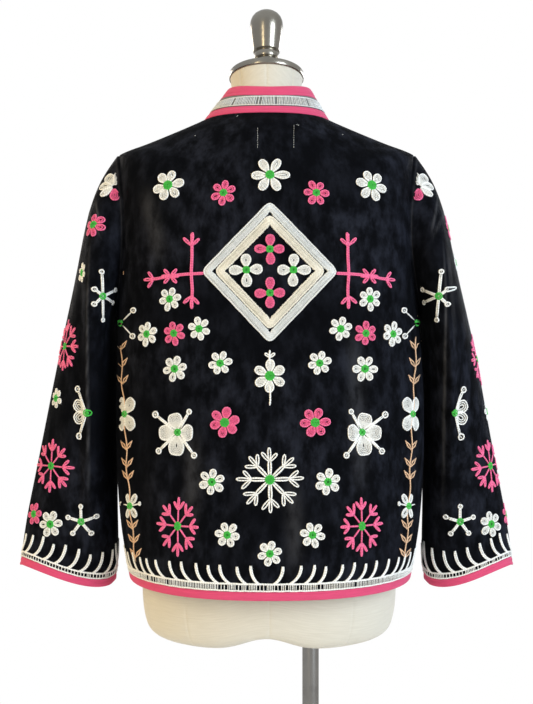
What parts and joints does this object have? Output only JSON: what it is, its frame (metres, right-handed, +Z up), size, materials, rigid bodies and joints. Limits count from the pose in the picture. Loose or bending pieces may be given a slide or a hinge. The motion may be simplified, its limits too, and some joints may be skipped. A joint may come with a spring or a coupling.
{
  "type": "embroidered suzani jacket on a limbless dress form",
  "caption": "Boxy long-sleeved velvet jacket with a stand collar and bound edges, worn by a limbless dress form on a pole and round base.",
  "frame": {"origin": "on the floor under the middle of the jacket, midway between the two cuffs", "axes": "+Z up, the jacket's front faces -Y, its back faces +Y and the wearer's left is at +X"},
  "size_m": [0.659, 0.38, 1.6111],
  "materials": {
    "velvet": "black velvet with a crushed sheen, embroidered in white, pink and green thread",
    "collar_cloth": "white thread worked in dense bars",
    "pink_cloth": "pink woven binding",
    "white_thread": "white chain-stitched thread",
    "pink_thread": "pink chain-stitched thread",
    "green_thread": "bright green chain-stitched thread",
    "tan_thread": "tan chain-stitched thread",
    "linen": "cream linen cover",
    "nickel": "brushed nickel",
    "steel": "satin steel"
  },
  "bodies": {
    "root": {"back": "velvet", "front_left": "velvet", "front_right": "velvet", "sleeve_left": "velvet", "sleeve_right": "velvet", "collar_band": "collar_cloth", "collar_top_binding": "pink_cloth", "collar_base_binding": "pink_cloth", "hem_binding": "pink_cloth", "front_binding_left": "pink_cloth", "front_binding_right": "pink_cloth", "cuff_binding_left": "pink_cloth", "cuff_binding_right": "pink_cloth", "torso": "linen", "neck_cap": "nickel", "finial": "nickel", "pole": "steel", "base": "steel"}
  },
  "joints": []
}
